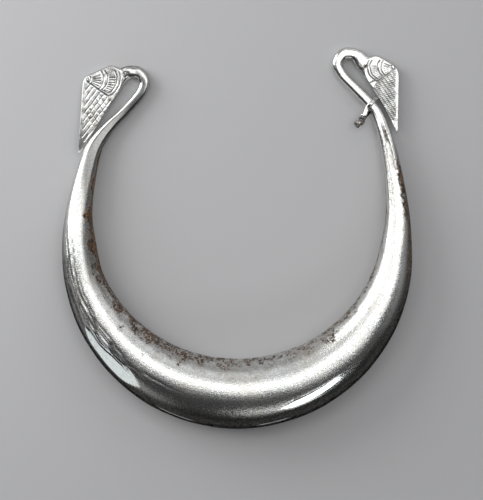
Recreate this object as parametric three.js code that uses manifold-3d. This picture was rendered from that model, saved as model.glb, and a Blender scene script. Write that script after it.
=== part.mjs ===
// Silver neck ring: a heavy crescent bar, forged thin at both ends, each end turned
// outwards in a loop and hammered flat into an engraved, bird-like finial.
// A short length of wire is still twisted round the right-hand neck.
//
// Millimetres. In the ring's own plane +X is the wearer's left, +Y runs from the heavy
// middle to the finials and +Z is the engraved face. The ring lies on its back on Z = 0.
import * as THREE from "three";
import { mergeVertices } from "three/addons/utils/BufferGeometryUtils.js";
import Module from "manifold-3d";

// Crescent: a round outer edge and an oval inner edge whose centres are set apart.
const OUTER_RADIUS = 80.6;
const INNER_HALF_WIDTH = 66.6;
const INNER_HALF_HEIGHT = 63;
const CRESCENT_SHIFT = 14.7;
const CRESCENT_REACH = 75; // degrees each side of the middle that follow those two edges
const CRESCENT_STEP = 15;

// Cross-section: oval in the crescent, rounded square in the slim necks.
const THIN_HALF = 2.5;
const THICK_HALF = 16;
const CRESCENT_DEPTH = 0.86; // depth over width at the thickest place
const NECK_DEPTH = 1.03;
const OVAL = 2; // exponent of the section's curve
const SQUARISH = 3.2;
const SQUARISH_RANGE = 1 / 3; // share of the bar's thickening over which squarish turns oval
const PLATE_SQUARE = 6;
const PLATE_FACE = 1.2; // swell of a plate's section before it is cut off flat

// Finials: the loop is bent round one mandrel at both ends.
const LOOP_RADIUS = 5.4;
const LOOP_KNOTS = 4;
const HEAD_KNOTS = 2; // knots over which the loop thins out towards the finial
const LOOP_THIN_HALF = 2.3;
const LOOP_HEAD_HALF = 2.8;
const LOOP_HALF_THICKNESS = 2.6;
const HEAD_HALF_THICKNESS = 1.7;
const PLATE_HALF_THICKNESS = 1.35;
const TIP_HALF_THICKNESS = 0.9;
const FLATTENING = 0.16; // share of the finial's length in which the neck becomes a plate
const TIP_THINNING = 0.75; // share of the length at which the plate begins to thin out
const TIP_WIDTH = 0.7;

// Arm knots are [outwards, up, half width]; every other point is [outwards, up].
// innerBow is how far the middle of a finial's inner edge is bent outwards, clear of the neck.
const LEFT = {
  side: -1,
  arm: [
    [72.8, -3.2, 7.9],
    [72.9, 10.6, 6.2],
    [70.2, 26.7, 4.9],
    [66.2, 40.5, 3.85],
    [62.9, 46.2, 3.2],
    [58.2, 51.9, 2.5],
    [51.5, 58.4, 2.1],
  ],
  loop: { centre: [48, 71.1], from: -34, to: 104 },
  notch: [53.4, 78],
  crest: [58, 79.4],
  shoulderTop: [68.2, 74.8],
  shoulder: [70.8, 73.7],
  shoulderSide: [71.1, 70.4],
  tip: [73.2, 38.9],
  jaw: [51.1, 72],
  innerBow: 0,
  fan: [69.2, 72.9],
  engravingScale: 1,
  crossLines: 5,
};
const RIGHT = {
  side: 1,
  arm: [
    [73.1, -3.2, 7.1],
    [73.6, 10.6, 5.5],
    [72, 26.7, 4.3],
    [69.3, 41.5, 3.6],
    [66.8, 50.4, 3.2],
    [63.4, 58.4, 2.6],
    [55.4, 67.3, 2.4],
  ],
  loop: { centre: [51.1, 79.6], from: -50, to: 118 },
  notch: [60, 83.4],
  crest: [63.6, 84.1],
  shoulderTop: [71.8, 79.3],
  shoulder: [73.9, 78],
  shoulderSide: [74.1, 74.4],
  tip: [73.5, 49.2],
  jaw: [56.4, 76.4],
  innerBow: 0.9,
  fan: [72.2, 78.4],
  engravingScale: 0.82,
  crossLines: 0,
};

// Engraving, sized for the left finial and measured from the corner of its fan.
const STROKE_WIDTH = 0.5;
const STROKE_DEPTH = 0.35;
const STROKE_HEIGHT = 3; // upward reach of a stroke's cutter, well clear of the face
const CORNER_ARC = 2;
const CORNER_DOT = 0.45;
const ARC_REACH = [7.8, 9.7, 14, 15.5];
const ARC_RADIUS = [6.3, 6, 7.1, 8.2];
const ARC_TOP = [35, 37, 30, 25]; // degrees above the fan's axis
const ARC_BOTTOM = [44, 56, 64, 71];
const INNER_TICKS = 5;
const OUTER_TICKS = 7;
const TICK_FOOT = [0.3, 0.94]; // shares of the inner arc, from the top, where ticks begin
const TICK_HEAD = [0.18, 0.94]; // and of the outer arc, which they point at
const TICK_BAND = [0.14, 0.8]; // share of the way between the arcs that a tick covers
const DIVIDER = [[0, -0.9], [10.3, -8.15]]; // [inwards, up] from the fan's corner
const SECOND_DIVIDER = [[6.7, -4.6], [10.1, -6.65]];
const FEATHER_SPACING = 1.95;
const FIRST_ROW = 0.5; // spacings from the field's corner to the first row
const FEATHER_DIRECTION = [0.61, -0.79]; // [outwards, up]
const CROSS_DIRECTION = [-0.5, -0.87];
const CROSS_SPACING = 2.6;
const CROSS_START = 0.62; // share of the divider below which the cross lines begin
const FIELD_MARGIN = 1.7; // bare edge beside the long feathers: outer, inner, below the divider
const FIELD_EDGE = 0.5;
const FIELD_TOP = 0.8;
const FIELD_SHARE = [0.3, 0.86]; // part of the finial's length that the feathers fill
const EYE_HEIGHT = 0.55; // share of the way from jaw to notch
const EYE_RADIUS = 0.7;

// Flattened wire twisted round the right-hand neck.
const WIRE_HALF_WIDTH = 1;
const WIRE_HALF_THICKNESS = 0.45;
const WIRE_PLACE = [61.5, 61];
const WIRE_WRAP = [3.95, 3.75]; // half width and half depth of the turn round the neck
const WRAP_MIDDLE = 180; // the turn in degrees: its middle, its reach each way and its step
const WRAP_REACH = 120;
const WRAP_STEP = 30;
const WIRE_SPREAD = 0.9; // the turn leans: its ends pass the neck this far each side
const WIRE_TAIL = [54.5, 51];
const TAIL_RISE = 1.6; // the stiff tail stands this far above the middle of the neck
const TAIL_STOPS = [1, 0.8, 0.6]; // shares of the tail at which the lower strand is placed
const TWIST_TURNS = 1.25;
const TWIST_STOPS = 8; // points on each turn of the twist
const TWIST_EASE = 2; // points over which the strip turns edgeways into the twist
const WIRE_GAP = 0.1;
const TWIST_SHARE = [0.5, 0.9]; // where along the tail the upper strand twists round the lower

// How it lies: the heavy middle and both loops rest on the ground, on small worn flats.
const REST_TILT = 4.26;
const REST_ROLL = -0.38;
const FLAT_SPOT_DEPTH = 0.25;
const GROUND_SIZE = [400, 400, 80]; // block that wears the flats, larger than the ring

// Mesh fineness.
const WELD = 1e-4;
const SECTION_SIDES = 20;
const STEPS_PER_KNOT = 3;
const PLATE_STEPS = 18;
const ARC_STEPS = 6;
const WIRE_SIDES = 8;
const WIRE_STEPS = 48;

const degrees = THREE.MathUtils.degToRad;
const wasm = await Module();
wasm.setup();

// A closed geometry as a solid that can be joined and cut.
function toSolid(geometry) {
  const bare = geometry.clone();
  bare.deleteAttribute("normal");
  bare.deleteAttribute("uv");
  const merged = mergeVertices(bare, WELD);
  return new wasm.Manifold(
    new wasm.Mesh({
      numProp: 3,
      vertProperties: merged.attributes.position.array,
      triVerts: new Uint32Array(merged.index.array),
    }),
  );
}

function toGeometry(solid) {
  const { vertProperties, triVerts } = solid.getMesh();
  const geometry = new THREE.BufferGeometry();
  geometry.setAttribute("position", new THREE.BufferAttribute(vertProperties, 3));
  geometry.setIndex(new THREE.BufferAttribute(triVerts, 1));
  geometry.computeVertexNormals();
  return geometry;
}

const joined = (solids) => solids.reduce((whole, solid) => whole.add(solid));

// Skin over a row of closed rings of points, with a fan of triangles over each end.
function loft(rings) {
  const sides = rings[0].length;
  const points = rings.flat();
  const triangles = [];
  for (let row = 0; row + 1 < rings.length; row++)
    for (let i = 0; i < sides; i++) {
      const [a, b] = [row * sides + i, row * sides + ((i + 1) % sides)];
      triangles.push(a, b, a + sides, b, b + sides, a + sides);
    }
  for (const [row, turn] of [[0, -1], [rings.length - 1, 1]]) {
    const middle = points.push(centroid(rings[row])) - 1;
    for (let i = 0; i < sides; i++) {
      const edge = [row * sides + i, row * sides + ((i + 1) % sides)];
      triangles.push(...(turn > 0 ? edge : edge.reverse()), middle);
    }
  }
  return new THREE.BufferGeometry().setFromPoints(points).setIndex(triangles);
}

function centroid(ring) {
  const sum = new THREE.Vector3();
  ring.forEach((point) => sum.add(point));
  return sum.divideScalar(ring.length);
}

// Half depth and roundness of the bar where it has this half width.
function barSection(half) {
  const thick = THREE.MathUtils.smoothstep(half, THIN_HALF, THICK_HALF);
  return {
    depth: half * THREE.MathUtils.lerp(NECK_DEPTH, CRESCENT_DEPTH, thick),
    square: THREE.MathUtils.lerp(SQUARISH, OVAL, Math.min(1, thick / SQUARISH_RANGE)),
    face: 1,
  };
}

// One closed ring of points across the bar, from its neck edge to its far edge.
function sectionRing({ neckEdge, farEdge, depth, square, face }) {
  const centre = neckEdge.clone().add(farEdge).multiplyScalar(0.5);
  const half = neckEdge.clone().sub(farEdge).multiplyScalar(0.5);
  const swell = (value) => Math.sign(value) * Math.abs(value) ** (2 / square);
  return Array.from({ length: SECTION_SIDES }, (_, i) => {
    const angle = (2 * Math.PI * i) / SECTION_SIDES;
    const across = swell(Math.cos(angle));
    const up = depth * THREE.MathUtils.clamp(face * swell(Math.sin(angle)), -1, 1);
    return new THREE.Vector3(centre.x + half.x * across, centre.y + half.y * across, up);
  });
}

// Knots [x, y, half width] of the crescent, on rays from the middle of the ring.
function crescentKnots() {
  const knots = [];
  for (let angle = -CRESCENT_REACH; angle <= CRESCENT_REACH; angle += CRESCENT_STEP) {
    const [x, y] = [Math.sin(degrees(angle)), -Math.cos(degrees(angle))];
    const shift = CRESCENT_SHIFT / 2;
    const outer = rayToOval(x, y, OUTER_RADIUS, OUTER_RADIUS, -shift);
    const inner = rayToOval(x, y, INNER_HALF_WIDTH, INNER_HALF_HEIGHT, shift);
    const middle = (outer + inner) / 2;
    knots.push(new THREE.Vector3(x * middle, y * middle, (outer - inner) / 2));
  }
  return knots;
}

// Distance along the ray (x, y) to an oval centred at height on the Y axis.
function rayToOval(x, y, halfWidth, halfHeight, height) {
  const a = (x / halfWidth) ** 2 + (y / halfHeight) ** 2;
  const b = (y * height) / halfHeight ** 2;
  const c = (height / halfHeight) ** 2 - 1;
  return (b + Math.sqrt(b * b - a * c)) / a;
}

// Knots of one arm, its slim neck and its loop, from the crescent to the finial.
function terminalKnots({ side, arm, loop, notch, jaw }) {
  const knots = arm.map(([x, y, half]) => new THREE.Vector3(side * x, y, half));
  for (let i = 0; i < LOOP_KNOTS; i++) {
    const share = i / (LOOP_KNOTS - 1);
    const angle = degrees(THREE.MathUtils.lerp(loop.from, loop.to, share));
    knots.push(
      new THREE.Vector3(
        side * (loop.centre[0] - LOOP_RADIUS * Math.cos(angle)),
        loop.centre[1] + LOOP_RADIUS * Math.sin(angle),
        THREE.MathUtils.lerp(LOOP_THIN_HALF, LOOP_HEAD_HALF, share),
      ),
    );
  }
  const half = Math.hypot(notch[0] - jaw[0], notch[1] - jaw[1]) / 2;
  const head = [(side * (notch[0] + jaw[0])) / 2, (notch[1] + jaw[1]) / 2];
  knots.push(new THREE.Vector3(...head, half));
  return knots;
}

// Stations along the round bar: one smooth curve carries its middle line and half width.
function barStations() {
  const left = terminalKnots(LEFT).reverse();
  const knots = [...left, ...crescentKnots(), ...terminalKnots(RIGHT)];
  const curve = new THREE.CatmullRomCurve3(knots);
  const steps = (knots.length - 1) * STEPS_PER_KNOT;
  return Array.from({ length: steps - 1 }, (_, i) => {
    const { x, y, z: half } = curve.getPoint((i + 1) / steps);
    const along = curve.getTangent((i + 1) / steps);
    const across = new THREE.Vector2(-along.y, along.x).normalize().multiplyScalar(half);
    const middle = new THREE.Vector2(x, y);
    const section = barSection(half);
    const knotsToHead = Math.min(i + 1, steps - i - 1) / STEPS_PER_KNOT;
    const round = THREE.MathUtils.smoothstep(knotsToHead, 0, HEAD_KNOTS);
    const thickest = THREE.MathUtils.lerp(HEAD_HALF_THICKNESS, LOOP_HALF_THICKNESS, round);
    if (knotsToHead < LOOP_KNOTS) section.depth = Math.min(section.depth, thickest);
    return {
      neckEdge: middle.clone().add(across),
      farEdge: middle.clone().sub(across),
      ...section,
    };
  });
}

// The two long edges of a finial, from its neck to its tip.
function plateEdges({ side, notch, crest, shoulderTop, shoulder, shoulderSide, tip, jaw, innerBow }) {
  const out = ([x, y]) => [side * x, y];
  const outer = new THREE.Path();
  outer.moveTo(...out(notch));
  outer.lineTo(...out(crest));
  outer.lineTo(...out(shoulderTop));
  outer.quadraticCurveTo(...out(shoulder), ...out(shoulderSide));
  outer.lineTo(...out(tip));
  const end = [tip[0] - TIP_WIDTH, tip[1]];
  // The curve passes halfway between its chord and this point, hence twice the bow.
  const bow = [(jaw[0] + end[0]) / 2 + 2 * innerBow, (jaw[1] + end[1]) / 2];
  const inner = new THREE.Path();
  inner.moveTo(...out(jaw));
  inner.quadraticCurveTo(...out(bow), ...out(end));
  return { outer, inner };
}

// Stations along one finial, from its neck to its tip.
function plateStations(terminal) {
  const { outer, inner } = plateEdges(terminal);
  const neckHalf = outer.getPoint(0).distanceTo(inner.getPoint(0)) / 2;
  const neck = barSection(neckHalf);
  return Array.from({ length: PLATE_STEPS + 1 }, (_, i) => {
    const share = i / PLATE_STEPS;
    const flat = THREE.MathUtils.smoothstep(share, 0, FLATTENING);
    const thin = THREE.MathUtils.smoothstep(share, TIP_THINNING, 1);
    const thickness = THREE.MathUtils.lerp(PLATE_HALF_THICKNESS, TIP_HALF_THICKNESS, thin);
    return {
      neckEdge: outer.getPoint(share),
      farEdge: inner.getPoint(share),
      depth: THREE.MathUtils.lerp(HEAD_HALF_THICKNESS, thickness, flat),
      square: THREE.MathUtils.lerp(neck.square, PLATE_SQUARE, flat),
      face: THREE.MathUtils.lerp(1, PLATE_FACE, flat),
    };
  });
}

function forgedBar() {
  const stations = [
    ...plateStations(LEFT).reverse(),
    ...barStations(),
    ...plateStations(RIGHT),
  ];
  return loft(stations.map(sectionRing));
}

// A straight stroke's cutter: a thin upright bar that stands through the engraved face.
function lineStroke(from, to) {
  const along = to.clone().sub(from);
  const middle = from.clone().add(to).multiplyScalar(0.5);
  const stroke = new THREE.BoxGeometry(along.length(), STROKE_WIDTH, STROKE_HEIGHT);
  stroke.translate(0, 0, STROKE_HEIGHT / 2);
  return stroke.rotateZ(along.angle()).translate(middle.x, middle.y, 0);
}

// A curved stroke's cutter: a thin strip between two arcs.
function arcStroke({ centre, radius, top, bottom }) {
  const [from, to] = [Math.min(top, bottom), Math.max(top, bottom)];
  const strip = new THREE.Shape();
  strip.absarc(centre.x, centre.y, radius + STROKE_WIDTH / 2, from, to, false);
  strip.absarc(centre.x, centre.y, radius - STROKE_WIDTH / 2, to, from, true);
  const options = { depth: STROKE_HEIGHT, bevelEnabled: false, curveSegments: ARC_STEPS };
  return new THREE.ExtrudeGeometry(strip, options);
}

function dotStroke(centre, radius) {
  const dot = new THREE.CylinderGeometry(radius, radius, STROKE_HEIGHT, ARC_STEPS);
  return dot.rotateX(Math.PI / 2).translate(centre.x, centre.y, STROKE_HEIGHT / 2);
}

const pointOnArc = ({ centre, radius, top, bottom }, share) => {
  const angle = THREE.MathUtils.lerp(top, bottom, share);
  return new THREE.Vector2(Math.cos(angle), Math.sin(angle)).multiplyScalar(radius).add(centre);
};

// Short strokes from one arc towards the next, like the barbs of a row of feathers.
function ladder(inner, outer, count) {
  return Array.from({ length: count }, (_, i) => {
    const share = i / (count - 1);
    const foot = pointOnArc(inner, THREE.MathUtils.lerp(...TICK_FOOT, share));
    const head = pointOnArc(outer, THREE.MathUtils.lerp(...TICK_HEAD, share));
    return lineStroke(...TICK_BAND.map((part) => foot.clone().lerp(head, part)));
  });
}

// The stretch of a line, from a least distance on, inside a convex field given by its corners.
function strokeInField(point, direction, corners, least) {
  let [start, end] = [least, Infinity];
  const turn = Math.sign(THREE.ShapeUtils.area(corners));
  corners.forEach((corner, i) => {
    const edge = corners[(i + 1) % corners.length].clone().sub(corner);
    const inward = new THREE.Vector2(-edge.y, edge.x).multiplyScalar(turn);
    const [room, rate] = [inward.dot(point.clone().sub(corner)), inward.dot(direction)];
    if (rate > 0) start = Math.max(start, -room / rate);
    if (rate < 0) end = Math.min(end, -room / rate);
  });
  if (end - start < FEATHER_SPACING / 2) return [];
  const at = (distance) => direction.clone().multiplyScalar(distance).add(point);
  return [lineStroke(at(start), at(end))];
}

// All strokes on one finial: fan of feathers, dividing lines, long feathers and eye.
function engravingStrokes(terminal) {
  const { side, engravingScale: scale } = terminal;
  const place = ([x, y]) => new THREE.Vector2(side * x, y);
  const fan = place(terminal.fan);
  const fromFan = ([inwards, up]) => place([-inwards, up]).multiplyScalar(scale).add(fan);
  const arc = (reach, radius, top, bottom) => ({
    centre: fromFan([reach - radius, 0]),
    radius: radius * scale,
    top: side < 0 ? degrees(top) : Math.PI - degrees(top),
    bottom: side < 0 ? -degrees(bottom) : Math.PI + degrees(bottom),
  });
  const corner = arc(CORNER_ARC, CORNER_ARC, ARC_TOP[0], ARC_BOTTOM[0]);
  const arcs = ARC_REACH.map((reach, i) => arc(reach, ARC_RADIUS[i], ARC_TOP[i], ARC_BOTTOM[i]));
  const divider = DIVIDER.map(fromFan);

  const { outer, inner } = plateEdges(terminal);
  const field = [
    ...divider.map((point) => point.clone().add(place([0, -FIELD_TOP * scale]))),
    ...FIELD_SHARE.map((share) => inner.getPoint(share).add(place([FIELD_EDGE, 0]))),
    outer.getPoint(FIELD_SHARE[1]).add(place([-FIELD_MARGIN * scale, 0])),
  ];
  const feather = place(FEATHER_DIRECTION).normalize();
  const cross = place(CROSS_DIRECTION).normalize();
  const rows = [];
  const rowCount = Math.ceil((2 * DIVIDER[1][0]) / FEATHER_SPACING);
  for (let i = 0; i < rowCount; i++) {
    const step = (i + FIRST_ROW) * FEATHER_SPACING;
    const start = fromFan([-step * FEATHER_DIRECTION[1], -step * FEATHER_DIRECTION[0]]);
    rows.push(...strokeInField(start, feather, field, -Infinity));
  }
  for (let i = 0; i < terminal.crossLines; i++) {
    const start = divider[0].clone().lerp(divider[1], CROSS_START);
    start.addScaledVector(feather, (i + FIRST_ROW) * CROSS_SPACING);
    rows.push(...strokeInField(start, cross, field, 0));
  }

  const eye = place(terminal.jaw).lerp(place(terminal.notch), EYE_HEIGHT);
  const strokes = [
    ...[corner, ...arcs].map(arcStroke),
    dotStroke(fan, CORNER_DOT * scale),
    ...ladder(corner, arcs[0], INNER_TICKS),
    ...ladder(arcs[1], arcs[2], OUTER_TICKS),
    lineStroke(...divider),
    lineStroke(...SECOND_DIVIDER.map(fromFan)),
    ...rows,
    dotStroke(eye, EYE_RADIUS * scale),
  ];
  return strokes.map((stroke) => stroke.translate(0, 0, PLATE_HALF_THICKNESS - STROKE_DEPTH));
}

// The bar with every stroke cut to one depth below the flat face of its finials.
function engravedBar() {
  const strokes = [LEFT, RIGHT].flatMap(engravingStrokes).map(toSolid);
  return toSolid(forgedBar()).subtract(joined(strokes));
}

// Middle line of the wire and the direction of its flat width: up the tail under the neck,
// round the neck, then down again and twisted round the tail.
function wireLines() {
  const place = new THREE.Vector3(...WIRE_PLACE, 0);
  const tail = new THREE.Vector3(...WIRE_TAIL, 0).sub(place);
  const down = tail.clone().normalize();
  const sideways = new THREE.Vector3(-down.y, down.x, 0);
  const middle = [];
  const width = [];
  const add = (along, across, up, flat) => {
    const point = place.clone().addScaledVector(down, along).addScaledVector(sideways, across);
    middle.push(point.setZ(up));
    width.push(flat);
  };
  const length = tail.length();
  for (const share of TAIL_STOPS) {
    add(share * length, (1 - share) * WIRE_SPREAD, TAIL_RISE, sideways);
  }
  for (let turn = WRAP_REACH; turn >= -WRAP_REACH; turn -= WRAP_STEP) {
    const angle = degrees(WRAP_MIDDLE + turn);
    const lean = WIRE_SPREAD * (turn / WRAP_REACH);
    add(WIRE_WRAP[0] * Math.cos(angle), lean, WIRE_WRAP[1] * Math.sin(angle), sideways);
  }
  const coil = WIRE_HALF_WIDTH + WIRE_HALF_THICKNESS + WIRE_GAP;
  const stops = TWIST_STOPS * TWIST_TURNS;
  for (let i = 0; i <= stops; i++) {
    const angle = (2 * Math.PI * i) / TWIST_STOPS;
    const share = THREE.MathUtils.lerp(...TWIST_SHARE, i / stops);
    const flat = sideways.clone().lerp(down, Math.min(1, i / TWIST_EASE));
    add(share * length, -coil * Math.sin(angle), TAIL_RISE + coil * Math.cos(angle), flat);
  }
  return [middle, width].map((points) => new THREE.CatmullRomCurve3(points, false, "catmullrom"));
}

function wireLoop() {
  const [middle, width] = wireLines();
  const rings = Array.from({ length: WIRE_STEPS + 1 }, (_, i) => {
    const share = i / WIRE_STEPS;
    const along = middle.getTangent(share);
    const flat = width.getPoint(share);
    flat.addScaledVector(along, -flat.dot(along)).setLength(WIRE_HALF_WIDTH);
    const thick = along.clone().cross(flat).setLength(WIRE_HALF_THICKNESS);
    return Array.from({ length: WIRE_SIDES }, (_, side) => {
      const angle = (2 * Math.PI * side) / WIRE_SIDES;
      const point = middle.getPoint(share).addScaledVector(flat, Math.cos(angle));
      return point.addScaledVector(thick, Math.sin(angle));
    });
  });
  return loft(rings);
}

const silver = new THREE.MeshStandardMaterial({ color: 0xcfccc4, metalness: 1, roughness: 0.32 });
const wireSilver = new THREE.MeshStandardMaterial({ color: 0xb9b5aa, metalness: 1, roughness: 0.4 });

// Lay the ring down, then wear a small flat where it meets the ground.
const lying = new THREE.Group();
lying.rotation.set(-degrees(REST_TILT), degrees(REST_ROLL), 0);
lying.updateMatrix();

const unworn = toGeometry(engravedBar());
const laid = unworn.clone().applyMatrix4(lying.matrix);
laid.computeBoundingBox();
lying.position.z = -laid.boundingBox.min.z - FLAT_SPOT_DEPTH;
lying.updateMatrix();
const ground = new THREE.BoxGeometry(...GROUND_SIZE);
ground.translate(0, 0, -GROUND_SIZE[2] / 2).applyMatrix4(lying.matrix.clone().invert());
const ring = toGeometry(toSolid(unworn).subtract(toSolid(ground)));

const ringMesh = new THREE.Mesh(ring, silver);
ringMesh.name = "neck_ring";
const wireMesh = new THREE.Mesh(wireLoop(), wireSilver);
wireMesh.name = "wire_loop";
lying.add(ringMesh, wireMesh);

// Origin under the middle of the ring.
const middle = new THREE.Box3().setFromObject(lying, true).getCenter(new THREE.Vector3());
lying.position.x -= middle.x;
lying.position.y -= middle.y;

const part = new THREE.Group();
part.add(lying);

export default part;
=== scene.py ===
"""Silver neck ring lying on its back: a crescent bar with looped necks, engraved finials and a wire."""

import math

import bpy
import numpy as np
from mathutils import Matrix, Vector


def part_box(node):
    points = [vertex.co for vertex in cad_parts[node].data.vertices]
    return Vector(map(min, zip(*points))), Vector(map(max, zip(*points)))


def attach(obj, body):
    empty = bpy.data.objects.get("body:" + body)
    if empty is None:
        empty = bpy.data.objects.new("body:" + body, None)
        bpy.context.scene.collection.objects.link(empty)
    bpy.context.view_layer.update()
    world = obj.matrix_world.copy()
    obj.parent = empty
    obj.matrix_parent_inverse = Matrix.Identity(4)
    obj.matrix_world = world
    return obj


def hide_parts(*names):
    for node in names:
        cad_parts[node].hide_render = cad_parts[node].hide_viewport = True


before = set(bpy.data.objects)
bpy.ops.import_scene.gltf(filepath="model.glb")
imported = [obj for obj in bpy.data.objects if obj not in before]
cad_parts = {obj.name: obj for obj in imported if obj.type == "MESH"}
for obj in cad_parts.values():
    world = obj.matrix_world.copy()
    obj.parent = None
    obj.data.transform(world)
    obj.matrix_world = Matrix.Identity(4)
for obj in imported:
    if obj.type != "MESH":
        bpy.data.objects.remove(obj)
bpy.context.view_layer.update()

MM = 0.001

# Sizes of the bar, in millimetres, in the ring's own plane (x across, y towards the finials).
OUTER_RADIUS = 80.6
INNER_HALF_WIDTH = 66.6
INNER_HALF_HEIGHT = 63.0
CRESCENT_SHIFT = 14.7
CRESCENT_ANGLES = range(-75, 76, 15)
THIN_HALF, THICK_HALF = 2.5, 16.0
CRESCENT_DEPTH, NECK_DEPTH = 0.86, 1.03
OVAL, SQUARISH, PLATE_SQUARE = 2.0, 3.2, 6.0
SQUARE_FADE = 3.0  # the squarish section turns oval within a third of the bar's thickening
PLATE_FACE = 1.2
LOOP_RADIUS = 5.4
LOOP_KNOTS = 4
HEAD_KNOTS = 2.0
LOOP_THIN_HALF, LOOP_HEAD_HALF = 2.3, 2.8
LOOP_HALF_THICKNESS, HEAD_HALF_THICKNESS = 2.6, 1.7
PLATE_HALF_THICKNESS, TIP_HALF_THICKNESS = 1.35, 0.9
FLATTENING, TIP_THINNING = 0.16, 0.75
TIP_WIDTH = 0.7
EDGE_SOFTENING = 0.7  # rounding of the finials' corners by wear

# The two ends of the bar, measured outwards and up: points of the arm with half widths, the loop's centre
# with its first and last angle, corners of the finial, and what is engraved on it.
LEFT = {
    "side": -1,
    "arm": [(72.8, -3.2, 7.9), (72.9, 10.6, 6.2), (70.2, 26.7, 4.9), (66.2, 40.5, 3.85),
            (62.9, 46.2, 3.2), (58.2, 51.9, 2.5), (51.5, 58.4, 2.1)],
    "loop": ((48.0, 71.1), -34.0, 104.0),
    "notch": (53.4, 78.0), "crest": (58.0, 79.4), "shoulder_top": (68.2, 74.8),
    "shoulder": (70.8, 73.7), "shoulder_side": (71.1, 70.4), "tip": (73.2, 38.9),
    "jaw": (51.1, 72.0), "inner_bow": 0.0, "fan": (69.2, 72.9), "scale": 1.0, "cross_lines": 5,
    "wear": 0.0, "eye": (51.4, 75.0), "worn_patch": None, "nick": None, "dots": [], "barbs": 0,
}
RIGHT = {
    "side": 1,
    "arm": [(73.1, -3.2, 7.1), (73.6, 10.6, 5.5), (72.0, 26.7, 4.3), (69.3, 41.5, 3.6),
            (66.8, 50.4, 3.2), (63.4, 58.4, 2.6), (55.4, 67.3, 2.4)],
    "loop": ((51.1, 79.6), -50.0, 118.0),
    "notch": (60.0, 83.4), "crest": (63.6, 84.1), "shoulder_top": (71.8, 79.3),
    "shoulder": (73.9, 78.0), "shoulder_side": (74.1, 74.4), "tip": (73.5, 49.2),
    "jaw": (56.4, 76.4), "inner_bow": 0.9, "fan": (72.2, 78.4), "scale": 0.82, "cross_lines": 0,
    "wear": 0.35, "eye": None, "worn_patch": (58.4, 79.1), "nick": [(60.5, 71.1), (62.8, 72.2)],
    "dots": [(73.0 - 0.02 * i, 72.4 - 2.1 * i) for i in range(7)], "barbs": 32,
}

# Engraving, measured from the corner of the fan as (inwards, up).
CORNER_ARC = 2.0
CORNER_DOT = 0.45
# Arcs of the fan: reach, radius, and degrees above and below the level of the corner.
ARCS = [(7.8, 6.3, 35, 44), (9.7, 6.0, 37, 56), (14.0, 7.1, 30, 64), (15.5, 8.2, 25, 71)]
INNER_TICKS, OUTER_TICKS = 5, 7
# Ticks of the two bands: shares of the inner and of the outer arc, from the top, that they span.
INNER_FAN, OUTER_FAN = ((0.3, 0.94), (0.18, 0.94)), ((0.36, 0.94), (0.27, 0.94))
TICK_BAND = (0.14, 0.8)
DIVIDER = [(0.0, -0.9), (10.3, -8.15)]
SECOND_DIVIDER = [(6.7, -4.6), (10.1, -6.65)]
FEATHER_SPACING = 1.95
FEATHER_DIRECTION = (0.61, -0.79)
CROSS_DIRECTION = (-0.5, -0.87)
CROSS_SPACING, CROSS_START = 2.6, 0.62
FIELD_MARGIN, FIELD_EDGE, FIELD_TOP = 1.5, 0.5, 0.3
FIELD_SHARE = (0.3, 0.86)
EYE_RADIUS = 1.2
EYE_RING = 0.6  # share of the eye's depth in its ring
# Dots of the eye: place across and up from its middle, and radius.
EYE_DOTS = [(0.55, 0.2, 0.15), (0.1, -1.1, 0.35)]
GROOVE_DEPTH = 0.28
HAND_WOBBLE, WOBBLE_WAVE = 0.1, 3.5
STROKE_MEAN, STROKE_SPREAD, STROKE_LEAST, STROKE_WAVE = 0.85, 0.3, 0.5, 5  # uneven depth of the strokes
WEAR_WAVE = 6
WORN_REACH = 1.6
# Half width in millimetres and share of the full depth of each kind of stroke.
STROKES = {"arc": (0.40, 1.0), "divider": (0.42, 1.0), "tick": (0.27, 0.5), "feather": (0.30, 0.9),
           "cross": (0.26, 0.6), "dash": (0.27, 0.7), "dot": (0.3, 0.45), "eye": (0.34, 0.9),
           "barb": (0.30, 0.8)}
DASH_HALF, DASH_SPACING = 0.75, 2.1
DASH_DIRECTION = (-0.3, -0.95)
BARB_SPACING = 0.95
BARBS_ABOVE = 4  # barbs counted upwards from the inner end of the divider
BARB_DIRECTION = (0.95, 0.3)

# Wire.
WIRE_HALF_WIDTH, WIRE_HALF_THICKNESS = 1.0, 0.45
WIRE_PLACE, WIRE_TAIL = (61.5, 61.0), (54.5, 51.0)
WIRE_WRAP = (3.95, 3.75)
TAIL_RISE = 1.6
WIRE_SPREAD = 0.9
TWIST_TURNS, TWIST_STOPS = 1.25, 8
WIRE_GAP = 0.1
TWIST_SHARE = (0.5, 0.9)
TAIL_SHARES = (1, 0.8, 0.6)
WRAP_ANGLES, WRAP_HALF = range(300, 59, -30), 120  # degrees round the neck
WIRE_SQUARE = 2.6
WIRE_GRAIN = 0.1
# The wire is brown at its twisted end. Its tail is painted dark grey as painted shade, and its twist is
# darker grey by half.
WIRE_STAIN, WIRE_CLEANER, WIRE_STAIN_END, WIRE_PATCHES = 0.55, 0.5, 0.25, (0.2, 2)
TAIL_DARK, TWIST_DARK, TWIST_DARKENING = (0.12, 0.2), (0.66, 0.74), 0.5

# How it lies.
REST_TILT, REST_ROLL = 4.26, -0.38

# Mesh fineness.
CURVE_STEPS = 60
STATION_PITCH = (0.55, 0.05)  # station spacing: a least value and a share of the half width
HEAD_FINE = (0.5, 0.35)  # the spacing shrinks on the last half knot, at the eye
PLATE_STEPS = 200
FACE_POINTS = 96
BAR_ARCS = [(-28, 88, 38), (88, 166, 44), (166, 332, 17)]  # neck side, front and back: degrees and points
FACE_REACH, FACE_LIMIT = 0.975, 0.985  # shares of a finial's half width: even points and engraving
RIM_ANGLES = (0, 5, 11)
BACK_POINTS = 17
WIRE_SIDES, WIRE_STEPS = 20, 180

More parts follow.
